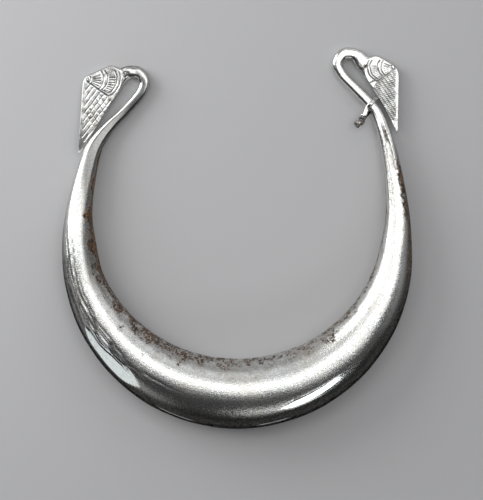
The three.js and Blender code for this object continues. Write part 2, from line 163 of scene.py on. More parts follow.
# Marks on the crescent. Along the bar they are placed in degrees from the middle, left negative;
# round its section in degrees from the neck side, 90 being the front.
# Flats: first and last place along, place round at each, and half width in degrees.
FACETS = [
    (-61, -33, 131, 128, 17.0),
    (13, 40, 121, 117, 8.0),
    (5, 17, 153, 150, 2.5),
    (-27, -12, 152, 154, 2.2),
]
# Creases: first and last place along, place round at each, reach and depth in millimetres.
CREASES = [
    (-100, -38, 112, 104, 0.9, 0.30),
    (-92, -46, 124, 112, 0.7, 0.22),
    (-84, -40, 101, 96, 0.6, 0.14),
    (-78, -58, 136, 131, 0.8, 0.25),
    (-70, -30, 118, 110, 0.5, 0.16),
    (-88, -66, 146, 139, 0.6, 0.16),
    (-96, -72, 131, 129, 0.5, 0.16),
    (-66, -18, 106, 99, 0.5, 0.16),
    (-60, -22, 112, 107, 0.4, 0.14),
    (111, 128, 96, 84, 0.5, 0.16),
    (117, 131, 74, 88, 0.4, 0.12),
]
# Dents: place along, place round, reach and depth in millimetres.
DENTS = [(-78, 30, 2.5, 0.35), (-72, 26, 3.0, 0.3)]
# Brown patches as (degrees along, degrees round, reach along and round in millimetres, strength).
STAIN_PATCHES = [(110, 126, 13.0, 2.3, 0.85), (101, 126, 8.0, 1.6, 0.8), (88, 156, 20.0, 1.6, 1.0),
                 (125, 92, 3.0, 0.5, 0.7)]
# Pits: first and last place along, count, and spread round in degrees.
PIT_BANDS = [
    (-125, -80, 60, 18.0), (-80, -40, 110, 30.0), (-40, 10, 110, 28.0), (10, 45, 70, 28.0),
    (34, 62, 50, 18.0), (60, 105, 80, 14.0),
]
# Reach of the brown tarnish from the neck side, in degrees, at places along the bar.
STAIN_PLACES = [-135, -115, -98, -85, -72, -55, -40, -15, 10, 40, 70, 100, 120]
STAIN_REACH = [12, 38, 46, 48, 44, 46, 44, 30, 30, 34, 16, 12, 0]
# How closed the tarnish is at those places.
STAIN_COVER = [0.5, 1.0, 1.0, 0.85, 0.66, 0.64, 0.62, 0.54, 0.45, 0.46, 0.55, 0.55, 0.0]
STAIN_RAGGED, STAIN_WAVE, STAIN_FADE = 0.35, 8, 40

# Relief: layers of unevenness as (height, wavelength), and the shape of each mark.
HAMMERING = [(0.07, 19), (0.014, 6)]
DISHING = [(0.05, 9), (0.02, 3)]
CREASE_WANDER = [(2.5, 17), (1.2, 5)]
CREASE_SEED_STEP = 10
HAMMERED_FROM = (2, 12)  # half widths of the bar between which the hammering sets in
WAVE_SPREAD = (0.7, 1.5)
END_FADE = 0.25  # share of a facet's or crease's length in which it fades out
FACET_EDGE = 2
CREASE_LIP, LIP_PLACE, CREASE_DARK = 0.5, 1.6, 0.45
PIT_DEPTH, PIT_STAIN = 0.22, 0.78
PIT_SIZE, PIT_STRETCH, PIT_STRENGTH = (0.35, 1.1), (1, 2.2), (0.5, 1)
PIT_FRONT_SHARE, PIT_WINDOW = 0.85, 5
SATIN_LEAST, SATIN_FROM = 0.1, (2.4, 5.5)
PLATE_SATIN, PLATE_PATINA, WORN_STAIN = 0.3, 0.12, 0.6
SEEDS = {"hammering": 1, "stain": 5, "pits": 7, "creases": 10, "wobble": 31, "wear": 33, "strokes": 34,
         "dishing": 40, "wire": 51}

# Painted dark reflection, near-black grey in the base colour standing in for shade, in degrees along the
# bar and round it: where it sets in, is full, fades and ends.
OUTER_ALONG = (-112, -70, 95, 135)
OUTER_EDGE, OUTER_EDGE_AT, OUTER_FADE = (118, 100), (-70, -30), 45
UNDERSIDE_LOSS, UNDERSIDE_AT = 0.7, (200, 250)
INNER_ALONG = (60, 85, 140, 156)
INNER_MIDDLE, INNER_REACH, INNER_REACH_AT, INNER_FADE = 25, (42, 74), (100, 122), 24
INNER_SHARE = 0.8

# Colours of the silver and of what lies on it.
RING_TINT, WIRE_TINT = (0.87, 0.89, 0.88, 1), (0.85, 0.86, 0.84, 1)
WARM_SILVER, COOL_POLISH = (0.70, 0.65, 0.575, 1), (0.78, 0.84, 0.84, 1)
# The second grey is near-black: the painted dark reflection on the bar, painted shade on the wire's tail,
# and the finials' light patina.
GRAIN_GREY, SHADE_AND_PATINA_GREY = (0.41, 0.405, 0.39, 1), (0.045, 0.044, 0.043, 1)
BROWN_HAZE = (0.40, 0.35, 0.30, 1)
LIGHT_BROWN, DARK_BROWN = (0.27, 0.155, 0.085, 1), (0.035, 0.024, 0.017, 1)
ENGRAVED_GREY = (0.06, 0.056, 0.054, 1)
# The specular tint goes from white to dim under the painted dark reflection and patina.
EDGE_WHITE, EDGE_DIM = (1, 1, 1, 1), (0.1, 0.1, 0.1, 1)
# Noises of the finish as (scale, detail, roughness), per millimetre of the straightened bar.
FINE_NOISE, SCRATCH_NOISE, BROAD_NOISE = (1.7, 3.0, 0.75), (1.6, 3.0, 0.5), (0.07, 5.0, 0.6)
SPECK_NOISE, PATCH_NOISE, RUST_NOISE = (0.9, 5.0, 0.7), (0.28, 4.0, 0.6), (0.7, 4.0, 0.7)
GRAIN_STRETCH, SCRATCH_STRETCH = (0.6, 0.8, 0.8), (0.05, 0.9, 0.9)
RUST_OFFSET = (31.0, 17.0, 5.0)
# Ranges in which a noise or a share goes from none to full, and the weights of each layer.
BROWN_RANGE, HAZE_RANGE, WARM_RANGE = (0.46, 0.62), (0.0, 0.6), (0.42, 0.72)
GRAIN_RANGE, DULLING_RANGE, RUST_RANGE = (0.42, 0.62), (0.68, 0.38), (0.36, 0.52)
METAL_RANGE = (0.0, 0.8)
SPECK_EDGE, PATCH_EDGE = 1.7, 1.1
WARM_SHARE, GRAIN_SHARE, HAZE_SHARE, ENGRAVED_SHARE = 0.6, 0.45, 0.55, 0.8
# Even and grainy shares of the darkening by painted dark reflection and patina.
DULLING_EVEN, DULLING_GRAINY = 0.78, 0.22
RUST_MIDDLE, RUST_LEAN = 0.65, 0.22
RING_ROUGHNESS, WIRE_ROUGHNESS = 0.08, 0.12
ROUGH_BROAD, ROUGH_FINE, ROUGH_SATIN, ROUGH_BROWN, ROUGH_POLISH = 0.08, 0.14, 0.08, 0.3, 0.2
SCRATCH_HEIGHT, POLISH_SMOOTHING, RUST_HEIGHT = 0.3, 0.85, 2.0
BUMP_HEIGHT = 0.00008

# Studio, in metres and watts.
FLOOR_REACH, FLOOR_COLOUR, FLOOR_ROUGHNESS = 2.5, (0.58, 0.58, 0.59, 1), 0.7
SKY_COLOUR = (0.97, 0.98, 1.0, 1)
SKY_FADE = {"From Min": -0.2, "From Max": 0.7, "To Min": 0.02, "To Max": 0.24}
# Name, place, width and height, and power of each lamp; all face the ring.
LIGHTS = [
    ("key", (-0.50, 0.29, 0.28), (0.46, 0.44), 2.5),
    ("upper", (-0.46, 0.24, 0.95), (0.36, 0.36), 1.0),
    ("top", (0.22, 0.32, 1.20), (1.0, 0.55), 3.6),
    ("side", (-0.60, -0.55, 0.29), (0.55, 0.28), 0.38),
    ("right", (0.75, -0.05, 0.32), (0.5, 0.5), 0.25),
    ("low", (0.30, -0.78, 0.60), (0.56, 0.18), 0.7),
    ("back", (0.10, 0.85, 0.55), (0.9, 0.5), 0.8),
    ("fill", (0.62, 0.45, 0.60), (0.5, 0.45), 0.5),
]
CAMERA_LEAN = 2  # degrees towards the finials
CAMERA_TARGET = (1.84, -5.5, 0)  # in millimetres, in the ring's own plane
CAMERA_DISTANCE, CAMERA_LENS, SENSOR_WIDTH = 1.0, 156.5, 36


def smoothstep(value, low, high):
    share = np.clip((value - low) / (high - low), 0, 1)
    return share * share * (3 - 2 * share)


def lerp(a, b, share):
    return a + (b - a) * share


def swell(value, square):
    return np.sign(value) * np.abs(value) ** (2 / square)


def waves(points, length, seed, count=24):
    """Smooth unevenness of about this wavelength, between about -1 and 1."""
    rng = np.random.default_rng(seed)
    total = np.zeros(points.shape[:-1])
    for _ in range(count):
        direction = rng.normal(size=points.shape[-1])
        direction *= 2 * math.pi / (np.linalg.norm(direction) * length * rng.uniform(*WAVE_SPREAD))
        total += np.sin(points @ direction + rng.uniform(0, 2 * math.pi))
    return total / math.sqrt(2 * count)


def layered_waves(points, layers, seed, seed_step=1):
    """Sum of layers of unevenness, each a height and a wavelength."""
    return sum(height * waves(points, length, seed + i * seed_step)
               for i, (height, length) in enumerate(layers))


def between(value, start, full, fading, stop):
    """Share that rises from start to full and falls again from fading to stop."""
    return smoothstep(value, start, full) * (1 - smoothstep(value, fading, stop))


def spline(knots, centripetal, steps):
    """Catmull-Rom curve: points, and their places counted in knots."""
    knots = np.asarray(knots, float)
    padded = np.vstack([2 * knots[0] - knots[1], knots, 2 * knots[-1] - knots[-2]])
    share = np.arange(steps) / steps
    rows = []
    for i in range(len(knots) - 1):
        p0, p1, p2, p3 = padded[i:i + 4]
        if centripetal:
            d0, d1, d2 = (math.sqrt(np.linalg.norm(b - a)) for a, b in ((p0, p1), (p1, p2), (p2, p3)))
            start = ((p1 - p0) / d0 - (p2 - p0) / (d0 + d1) + (p2 - p1) / d1) * d1
            end = ((p2 - p1) / d1 - (p3 - p1) / (d1 + d2) + (p3 - p2) / d2) * d1
        else:
            start, end = (p2 - p0) / 2, (p3 - p1) / 2
        t = share[:, None]
        curve = p1 + start * t + (3 * (p2 - p1) - 2 * start - end) * t**2
        rows.append(curve + (2 * (p1 - p2) + start + end) * t**3)
    rows.append(knots[-1:])
    return np.vstack(rows), np.arange(len(rows[0]) * (len(knots) - 1) + 1) / steps


def ray_to_oval(x, y, half_width, half_height, height):
    a = (x / half_width) ** 2 + (y / half_height) ** 2
    b = y * height / half_height**2
    c = (height / half_height) ** 2 - 1
    return (b + math.sqrt(b * b - a * c)) / a


def crescent_knots():
    knots = []
    for angle in CRESCENT_ANGLES:
        x, y = math.sin(math.radians(angle)), -math.cos(math.radians(angle))
        outer = ray_to_oval(x, y, OUTER_RADIUS, OUTER_RADIUS, -CRESCENT_SHIFT / 2)
        inner = ray_to_oval(x, y, INNER_HALF_WIDTH, INNER_HALF_HEIGHT, CRESCENT_SHIFT / 2)
        knots.append((x * (outer + inner) / 2, y * (outer + inner) / 2, (outer - inner) / 2))
    return knots


def terminal_knots(end):
    side = end["side"]
    knots = [(side * x, y, half) for x, y, half in end["arm"]]
    centre, start, stop = end["loop"]
    for share in np.linspace(0, 1, LOOP_KNOTS):
        angle = math.radians(lerp(start, stop, share))
        x = side * (centre[0] - LOOP_RADIUS * math.cos(angle))
        y = centre[1] + LOOP_RADIUS * math.sin(angle)
        knots.append((x, y, lerp(LOOP_THIN_HALF, LOOP_HEAD_HALF, share)))
    notch, jaw = np.array(end["notch"]), np.array(end["jaw"])
    middle = (notch + jaw) / 2
    knots.append((side * middle[0], middle[1], np.linalg.norm(notch - jaw) / 2))
    return knots


def bar_stations():
    """Stations along the round bar, closer together where it is thin."""
    knots = terminal_knots(LEFT)[::-1] + crescent_knots() + terminal_knots(RIGHT)
    points, place = spline(knots, True, CURVE_STEPS)
    steps = np.linalg.norm(np.diff(points[:, :2], axis=0), axis=1)
    pitch = STATION_PITCH[0] + STATION_PITCH[1] * points[:, 2]
    pitch = pitch * np.where(np.minimum(place, place[-1] - place) < HEAD_FINE[0], HEAD_FINE[1], 1)
    count = np.concatenate([[0], np.cumsum(steps / (pitch[1:] + pitch[:-1]) * 2)])
    length = np.concatenate([[0], np.cumsum(steps)])
    wanted = np.linspace(0, count[-1], int(count[-1]) + 1)[1:-1]
    tangent = np.gradient(points[:, :2], axis=0)

    def sample(values):
        return np.interp(wanted, count, values)

    x, y, half = (sample(points[:, i]) for i in range(3))
    along = np.stack([sample(tangent[:, 0]), sample(tangent[:, 1])], 1)
    along /= np.linalg.norm(along, axis=1, keepdims=True)
    across = np.stack([-along[:, 1], along[:, 0]], 1) * half[:, None]
    middle = np.stack([x, y], 1)
    thick = smoothstep(half, THIN_HALF, THICK_HALF)
    depth = half * lerp(NECK_DEPTH, CRESCENT_DEPTH, thick)
    to_head = sample(np.minimum(place, place[-1] - place))
    cap = lerp(HEAD_HALF_THICKNESS, LOOP_HALF_THICKNESS, smoothstep(to_head, 0, HEAD_KNOTS))
    depth = np.where(to_head < LOOP_KNOTS, np.minimum(depth, cap), depth)
    square = lerp(SQUARISH, OVAL, np.minimum(1, SQUARE_FADE * thick))
    return {"neck": middle + across, "far": middle - across, "depth": depth, "square": square,
            "face": np.ones_like(depth), "along": sample(length), "total": length[-1]}


def path_points(points, shares):
    """Points at shares of the length of a polyline."""
    points = np.asarray(points, float)
    steps = np.concatenate([[0], np.cumsum(np.linalg.norm(np.diff(points, axis=0), axis=1))])
    return np.stack([np.interp(shares * steps[-1], steps, points[:, i]) for i in range(2)], 1)


def quadratic(start, control, stop, count=40):
    t = np.linspace(0, 1, count)[:, None]
    start, control, stop = (np.array(p) for p in (start, control, stop))
    return (1 - t) ** 2 * start + 2 * t * (1 - t) * control + t**2 * stop


def plate_edges(end, shares):
    """The two long edges of a finial as (outwards, up), from its neck to its tip."""
    outer = [end["notch"], end["crest"], end["shoulder_top"]]
    outer += list(quadratic(end["shoulder_top"], end["shoulder"], end["shoulder_side"]))[1:]
    outer.append(end["tip"])
    stop = (end["tip"][0] - TIP_WIDTH, end["tip"][1])
    bow = ((end["jaw"][0] + stop[0]) / 2 + 2 * end["inner_bow"], (end["jaw"][1] + stop[1]) / 2)
    return path_points(outer, shares), path_points(quadratic(end["jaw"], bow, stop), shares)


def softened(edge, shares, length):
    """Rounds the corners of an edge without moving its ends."""
    spread = EDGE_SOFTENING / length
    weight = np.exp(-0.5 * ((shares[:, None] - shares) / spread) ** 2)
    smooth = weight @ edge / weight.sum(1, keepdims=True)
    keep = np.exp(-np.minimum(shares, 1 - shares) / (2 * spread))[:, None]
    return lerp(smooth, edge, keep)


def plate_stations(end):
    shares = np.linspace(0, 1, PLATE_STEPS + 1)
    outer, inner = plate_edges(end, shares)
    length = np.linalg.norm(np.diff(outer, axis=0), axis=1).sum()
    outer = softened(outer, shares, length)
    neck_half = np.linalg.norm(outer[0] - inner[0]) / 2
    thick = smoothstep(neck_half, THIN_HALF, THICK_HALF)
    neck_square = lerp(SQUARISH, OVAL, min(1, SQUARE_FADE * thick))
    flat = smoothstep(shares, 0, FLATTENING)
    thin = smoothstep(shares, TIP_THINNING, 1)
    thickness = lerp(PLATE_HALF_THICKNESS, TIP_HALF_THICKNESS, thin)
    side = np.array([end["side"], 1])
    return {"neck": outer * side, "far": inner * side,
            "depth": lerp(HEAD_HALF_THICKNESS, thickness, flat),
            "square": lerp(neck_square, PLATE_SQUARE, flat), "face": lerp(1, PLATE_FACE, flat),
            "along": shares * length, "total": length}


def skin(stations, angles):
    """Grid of points, of outward directions and of the bar's straightened coordinates."""
    c, s = np.cos(angles)[None], np.sin(angles)[None]
    square = stations["square"][:, None]
    middle = (stations["neck"] + stations["far"]) / 2
    half = (stations["neck"] - stations["far"]) / 2
    width = np.linalg.norm(half, axis=1, keepdims=True)
    depth = stations["depth"][:, None]
    across = swell(c, square)
    up = np.clip(stations["face"][:, None] * swell(s, square), -1, 1)
    flat = middle[:, None] + half[:, None] * across[..., None]
    points = np.concatenate([flat, (depth * up)[..., None]], 2)
    power = 2 * (square - 1) / square
    lean = np.sign(c) * np.abs(c) ** power / width
    rise = np.sign(s) * np.abs(s) ** power / depth
    outward = np.concatenate([(half / width)[:, None] * lean[..., None], rise[..., None]], 2)
    outward /= np.linalg.norm(outward, axis=2, keepdims=True)
    along = np.broadcast_to(stations["along"][:, None], across.shape)
    straight = np.stack([along, width * across, depth * up], 2)
    return points, outward, straight


def bar_angles():
    """Angles round the section, closer on the front and on the neck side."""
    neck_side, front, back = (np.linspace(*arc) for arc in BAR_ARCS)
    return np.radians(np.sort(np.concatenate([neck_side, front[1:], back[1:-1]]) % 360))


def plate_angles():
    """Angles round a finial's section, evenly spread over its engraved face."""
    face = np.arccos(np.linspace(FACE_REACH, -FACE_REACH, FACE_POINTS) ** 3)
    rim = np.radians(RIM_ANGLES)
    back = np.linspace(math.pi, 2 * math.pi, BACK_POINTS)[1:-1]
    return np.concatenate([rim, face, math.pi - rim[::-1], back])


def facets(turn, angle, radius):
    """Depth of the flat hammered facets, and the share of polish on them."""
    depth = np.zeros(np.broadcast(turn, angle).shape)
    polish = np.zeros_like(depth)
    for start, stop, first, last, reach in FACETS:
        share = (turn - start) / (stop - start)
        off = np.abs(angle - lerp(first, last, share))
        ends = smoothstep(share, 0, END_FADE) * smoothstep(1 - share, 0, END_FADE)
        reach_here = reach * np.sqrt(np.clip(ends, 0, 1))
        cut = radius * (np.cos(np.radians(off)) - np.cos(np.radians(reach_here)))
        depth += np.maximum(cut, 0)
        polish = np.maximum(polish, smoothstep(reach_here - off, 0, FACET_EDGE))
    return depth, polish


def creases(turn, angle, radius, straight):
    """Height of the creases with a lip beside each, and the share of crease."""
    height = np.zeros(np.broadcast(turn, angle).shape)
    crease = np.zeros_like(height)
    for i, (start, stop, first, last, reach, deep) in enumerate(CREASES):
        share = (turn - start) / (stop - start)
        wander = layered_waves(straight[..., :1], CREASE_WANDER, SEEDS["creases"] + i, CREASE_SEED_STEP)
        off = np.radians(angle - lerp(first, last, share) - wander) * radius / reach
        ends = smoothstep(share, 0, END_FADE) * smoothstep(1 - share, 0, END_FADE)
        mark = np.exp(-off**2) * ends
        height -= deep * mark
        height += CREASE_LIP * deep * np.exp(-((off - LIP_PLACE) ** 2)) * ends
        crease = np.maximum(crease, mark)
    return height, crease


def scattered_pits(turn, around, radius, length_scale):
    """Depth share of small pits, scattered in bands along the neck side."""
    rng = np.random.default_rng(SEEDS["pits"])
    pits = np.zeros(np.broadcast(turn, around).shape)
    for start, stop, count, spread in PIT_BANDS:
        for _ in range(count):
            place = rng.uniform(start, stop)
            level = abs(rng.normal(0, spread)) * (1 if rng.random() < PIT_FRONT_SHARE else -1)
            size = rng.uniform(*PIT_SIZE)
            stretch = rng.uniform(*PIT_STRETCH)
            rows = np.abs(turn[:, 0] - place) < PIT_WINDOW
            along = (turn[rows] - place) * length_scale[rows] / stretch
            off = np.hypot(along, np.radians(around - level) * radius[rows]) / size
            pits[rows] = np.maximum(pits[rows], np.exp(-off**2) * rng.uniform(*PIT_STRENGTH))
    return pits


def brown_tarnish(turn, angle, around, radius, length_scale, straight, pits):
    """Share of brown: a band along the neck side, the pits and single patches."""
    ragged = 1 + STAIN_RAGGED * waves(straight, STAIN_WAVE, SEEDS["stain"])
    reach = np.interp(turn[:, 0], STAIN_PLACES, STAIN_REACH)[:, None] * ragged
    cover = np.interp(turn[:, 0], STAIN_PLACES, STAIN_COVER)[:, None]
    band = np.minimum(cover, 0.5 + (reach - np.abs(around)) / STAIN_FADE)
    stain = np.maximum(band, PIT_STAIN * pits)
    for place, level, long, wide, strength in STAIN_PATCHES:
        off = np.hypot((turn - place) * length_scale / long, np.radians(angle - level) * radius / wide)
        stain = np.maximum(stain, strength * np.exp(-off**2))
    return np.clip(stain, 0, 1)


def bar_relief(points, straight, angles, stations):
    """Heights of the bar's unevenness and marks, and the shares of its finish and of its painted dark
    reflection.
    """
    middle = (stations["neck"] + stations["far"]) / 2
    turn = np.degrees(np.arctan2(middle[:, 0], -middle[:, 1]))[:, None]
    radius = np.linalg.norm(stations["neck"] - stations["far"], axis=1)[:, None] / 2
    length_scale = np.radians(1) * np.linalg.norm(middle, axis=1)[:, None]
    angle = np.degrees(angles)[None]
    around = (angle + 180) % 360 - 180
    uneven = layered_waves(straight, HAMMERING, SEEDS["hammering"]) * smoothstep(radius, *HAMMERED_FROM)
    cut, polish = facets(turn, angle, radius)
    folded, crease = creases(turn, angle, radius, straight)
    height = uneven * (1 - polish) - cut + folded
    for start, place, reach, deep in DENTS:
        off = np.hypot((turn - start) * length_scale, np.radians(angle - place) * radius) / reach
        height -= deep * np.exp(-off**2)
    pits = scattered_pits(turn, around, radius, length_scale)
    height -= PIT_DEPTH * pits
    eyes = np.zeros_like(height)
    for end in (LEFT, RIGHT):
        marks = eye_marks(end, points[..., :2] * (end["side"], 1))
        eyes = np.maximum(eyes, np.where(np.sin(angles)[None] > 0, marks, 0))
    height -= GROOVE_DEPTH * eyes
    satin = lerp(SATIN_LEAST, 1, smoothstep(radius, *SATIN_FROM)) + np.zeros_like(height)
    stain = brown_tarnish(turn, angle, around, radius, length_scale, straight, pits)
    # Painted dark reflection: dark grey standing in for shade along the outer rim and inside the left arm,
    # none on polished facets.
    patina = painted_dark_reflection(turn, angle, around) * (1 - polish)
    groove = np.maximum(CREASE_DARK * crease, eyes)
    return height, {"stain": stain, "polish": polish, "groove": groove, "satin": satin, "patina": patina}


def painted_dark_reflection(turn, angle, around):
    """Share of painted dark reflection, dark grey standing in for shade: along the outer side of the
    middle and right, and inside the left arm.
    """
    edge = lerp(*OUTER_EDGE, smoothstep(turn, *OUTER_EDGE_AT))
    underside = 1 - UNDERSIDE_LOSS * smoothstep(angle, *UNDERSIDE_AT)
    outer = between(turn, *OUTER_ALONG) * smoothstep(angle, edge, edge + OUTER_FADE) * underside
    reach = lerp(*INNER_REACH, smoothstep(-turn, *INNER_REACH_AT))
    off = np.abs(around - INNER_MIDDLE)
    inner = between(-turn, *INNER_ALONG) * (1 - smoothstep(off, reach, reach + INNER_FADE))
    return np.maximum(outer, INNER_SHARE * inner)


def to_segment(points, start, stop):
    start, stop = np.asarray(start, float), np.asarray(stop, float)
    along = stop - start
    share = np.clip((points - start) @ along / (along @ along), 0, 1)
    return np.linalg.norm(points - start - share[..., None] * along, axis=-1)


def to_arc(points, arc):
    centre, radius, top, bottom = arc
    off = points - centre
    angle = np.arctan2(off[..., 1], -off[..., 0])
    inside = (angle <= top) & (angle >= bottom)
    ends = [np.linalg.norm(points - on_arc(arc, share), axis=-1) for share in (0, 1)]
    ring = np.abs(np.linalg.norm(off, axis=-1) - radius)
    return np.where(inside, ring, np.minimum(*ends))


def on_arc(arc, share):
    centre, radius, top, bottom = arc
    angle = lerp(top, bottom, share)
    return centre + radius * np.array([-math.cos(angle), math.sin(angle)])


def in_field(point, direction, corners, least):
    """The stretch of a line inside a convex field, as two points or nothing."""
    start, stop = least, math.inf
    nxt = np.roll(corners, -1, axis=0)
    turn = np.sign(np.sum(corners[:, 0] * nxt[:, 1] - nxt[:, 0] * corners[:, 1]))
    for corner, after in zip(corners, nxt):
        edge = after - corner
        inward = turn * np.array([-edge[1], edge[0]])
        room, rate = inward @ (point - corner), inward @ direction
        if rate > 0:
            start = max(start, -room / rate)
        if rate < 0:
            stop = min(stop, -room / rate)
    if stop - start < FEATHER_SPACING / 2:
        return []
    return [(point + start * direction, point + stop * direction)]


def engraving(end, points):
    """Depth share of the engraving at points (outwards, up) on a finial's face."""
    scale, fan = end["scale"], np.array(end["fan"])

    def from_fan(p):
        return fan + scale * np.array([-p[0], p[1]])

    def make(reach, radius, top, bottom):
        return from_fan((reach - radius, 0)), radius * scale, math.radians(top), -math.radians(bottom)

    corner = make(CORNER_ARC, CORNER_ARC, ARCS[0][2], ARCS[0][3])
    arcs = [make(*arc) for arc in ARCS]
    lines = [("divider", *end["nick"])] if end["nick"] else []
    bands = ((corner, arcs[0], INNER_TICKS, INNER_FAN), (arcs[1], arcs[2], OUTER_TICKS, OUTER_FAN))
    for inner, outer, count, (feet, heads) in bands:
        for share in np.linspace(0, 1, count):
            foot, head = on_arc(inner, lerp(*feet, share)), on_arc(outer, lerp(*heads, share))
            lines.append(("tick", *(lerp(foot, head, part) for part in TICK_BAND)))
    divider = np.array([from_fan(p) for p in DIVIDER])
    lines.append(("divider", *divider))
    lines.append(("feather", *(from_fan(p) for p in SECOND_DIVIDER)))
    outer, inner = plate_edges(end, np.array(FIELD_SHARE))
    field = np.vstack([divider - (0, FIELD_TOP * scale), inner + (FIELD_EDGE, 0),
                       outer[1:] - (FIELD_MARGIN * scale, 0)])
    feather, cross, dash, barb = (np.array(d) / np.linalg.norm(d) for d in (
        FEATHER_DIRECTION, CROSS_DIRECTION, DASH_DIRECTION, BARB_DIRECTION))
    for i in range(math.ceil(2 * DIVIDER[1][0] / FEATHER_SPACING)):
        step = (i + 0.5) * FEATHER_SPACING
        start = from_fan((-step * FEATHER_DIRECTION[1], -step * FEATHER_DIRECTION[0]))
        lines += [("feather", *ends) for ends in in_field(start, feather, field, -math.inf)]
    for i in range(end["cross_lines"]):
        start = lerp(divider[0], divider[1], CROSS_START) + feather * (i + 0.5) * CROSS_SPACING
        for first, last in in_field(start, cross, field, 0):
            lines.append(("cross", first, last))
            for along in np.arange(DASH_HALF, np.linalg.norm(last - first), DASH_SPACING):
                middle = first + along * cross
                lines.append(("dash", middle - DASH_HALF * dash, middle + DASH_HALF * dash))
    for i in range(end["barbs"]):
        start = divider[1] + feather * (i - BARBS_ABOVE) * BARB_SPACING
        lines += [("barb", *ends) for ends in in_field(start, barb, field, -math.inf)]
    seed = SEEDS["wobble"]
    wobble = np.stack([waves(points, WOBBLE_WAVE, seed), waves(points, WOBBLE_WAVE, seed + 1)], -1)
    drawn = points + HAND_WOBBLE * wobble
    depth = np.zeros(points.shape[:-1])

    def cut(kind, off):
        half, share = STROKES[kind]
        np.maximum(depth, share * smoothstep(half - off, 0, half), out=depth)

    for arc in [corner, *arcs]:
        cut("arc", to_arc(drawn, arc))
    for kind, start, stop in lines:
        cut(kind, to_segment(drawn, start, stop))
    cut("eye", np.maximum(0, np.linalg.norm(points - fan, axis=-1) - CORNER_DOT * scale / 2))
    for place in end["dots"]:
        cut("dot", np.linalg.norm(points - place, axis=-1))
    uneven = STROKE_MEAN + STROKE_SPREAD * waves(points, STROKE_WAVE, SEEDS["strokes"])
    uneven = np.clip(uneven, STROKE_LEAST, 1)
    dulled = 1 - end["wear"] * np.clip(0.5 + waves(points, WEAR_WAVE, SEEDS["wear"]), 0, 1)
    return depth * uneven * dulled


def eye_marks(end, points):
    """Depth share of the punched eye at points (outwards, up): a ring with a dot and a deeper mark."""
    depth = np.zeros(points.shape[:-1])
    if end["eye"] is None:
        return depth
    half, share = STROKES["eye"]
    off = np.linalg.norm(points - end["eye"], axis=-1)
    ring = EYE_RING * smoothstep(half - np.abs(off - EYE_RADIUS), 0, half)
    for across, up, reach in EYE_DOTS:
        dot = np.linalg.norm(points - np.array(end["eye"]) - (across, up), axis=-1)
        ring = np.maximum(ring, smoothstep(reach + half - dot, 0, half))
    return share * ring


def plate_relief(end, points, straight, angles):
    """Heights of a finial's dishing and engraving, and the shares of its finish."""
    flat = points[..., :2] * (end["side"], 1)
    face = np.sin(angles)[None] > 0
    front = face & (np.abs(np.cos(angles))[None] < FACE_LIMIT)
    groove = np.where(front, np.maximum(engraving(end, flat), eye_marks(end, flat)), 0)
    height = np.where(face, layered_waves(straight, DISHING, SEEDS["dishing"]), 0) - GROOVE_DEPTH * groove
    zero = np.zeros_like(groove)
    stain = zero
    if end["worn_patch"]:
        off = np.linalg.norm(flat - end["worn_patch"], axis=-1) / WORN_REACH
        stain = WORN_STAIN * np.exp(-off**2)
    return height, {"stain": stain, "polish": zero, "groove": groove, "satin": zero + PLATE_SATIN,
                    "patina": zero + PLATE_PATINA}


def stitched(first, second, first_angles, second_angles):
    """Triangles between two rings of points that have different counts."""
    a, b = np.append(first_angles, 2 * math.pi), np.append(second_angles, 2 * math.pi)
    i = j = 0
    faces = []
    while i < len(first) or j < len(second):
        here, there = first[i % len(first)], second[j % len(second)]
        if j == len(second) or (i < len(first) and a[i + 1] <= b[j + 1]):
            i += 1
            faces.append((here, first[i % len(first)], there))
        else:
            j += 1
            faces.append((here, second[j % len(second)], there))
    return faces


def rows_of_quads(index):
    nxt = np.roll(index, -1, axis=1)
    return np.stack([index[:-1], nxt[:-1], nxt[1:], index[1:]], -1).reshape(-1, 4).tolist()


def resting_turn():
    tilt = Matrix.Rotation(math.radians(-REST_TILT), 3, "X")
    return tilt @ Matrix.Rotation(math.radians(REST_ROLL), 3, "Y")


def laid_down(points):
    return points @ np.array(resting_turn()).T


def mesh_object(name, points, faces, attributes, material):
    mesh = bpy.data.meshes.new(name)
    mesh.from_pydata((points * MM).tolist(), [], faces)
    mesh.update()
    for key, values in attributes.items():
        kind, field = ("FLOAT_VECTOR", "vector") if values.ndim == 2 else ("FLOAT", "value")
        layer = mesh.attributes.new(key, kind, "POINT")
        layer.data.foreach_set(field, values.astype(np.float32).ravel())
    mesh.shade_smooth()
    mesh.materials.append(material)
    piece = bpy.data.objects.new(name, mesh)
    bpy.context.scene.collection.objects.link(piece)
    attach(piece, "root")
    return piece


def ring_mesh():
    """Points, faces and surface values of the whole forged ring, in its own plane."""
    bar, left, right = bar_stations(), plate_stations(LEFT), plate_stations(RIGHT)
    around, flat = bar_angles(), plate_angles()
    left = {key: value if key == "total" else value[::-1] for key, value in left.items()}
    left["along"] = left["along"][::-1]
    bar["along"] = bar["along"] + left["total"]
    right["along"] = right["along"] + left["total"] + bar["total"]
    rows, faces, first = [], [], 0
    last_ring = last_angles = None
    for stations, angles, end in ((left, flat, LEFT), (bar, around, None), (right, flat, RIGHT)):
        points, outward, straight = skin(stations, angles)
        if end:
            height, values = plate_relief(end, points, straight, angles)
        else:
            height, values = bar_relief(points, straight, angles, stations)
        index = first + np.arange(points.shape[0] * points.shape[1]).reshape(points.shape[:2])
        faces += rows_of_quads(index)
        if last_ring is not None:
            faces += stitched(last_ring.tolist(), index[0].tolist(), last_angles, angles)
        last_ring, last_angles = index[-1], angles
        first += index.size
        rows.append((points, points + outward * height[..., None], straight, values))

    def flatten(grids):
        return np.concatenate([g.reshape(-1, *g.shape[2:]) for g in grids])

    plain, points, straight = (flatten([row[i] for row in rows]) for i in range(3))
    attributes = {key: flatten([row[3][key] for row in rows]) for key in rows[0][3]}
    sides = len(flat)
    faces.append(list(range(sides))[::-1])
    faces.append(list(range(len(points) - sides, len(points))))
    return plain, points, faces, {"straight": straight, **attributes}


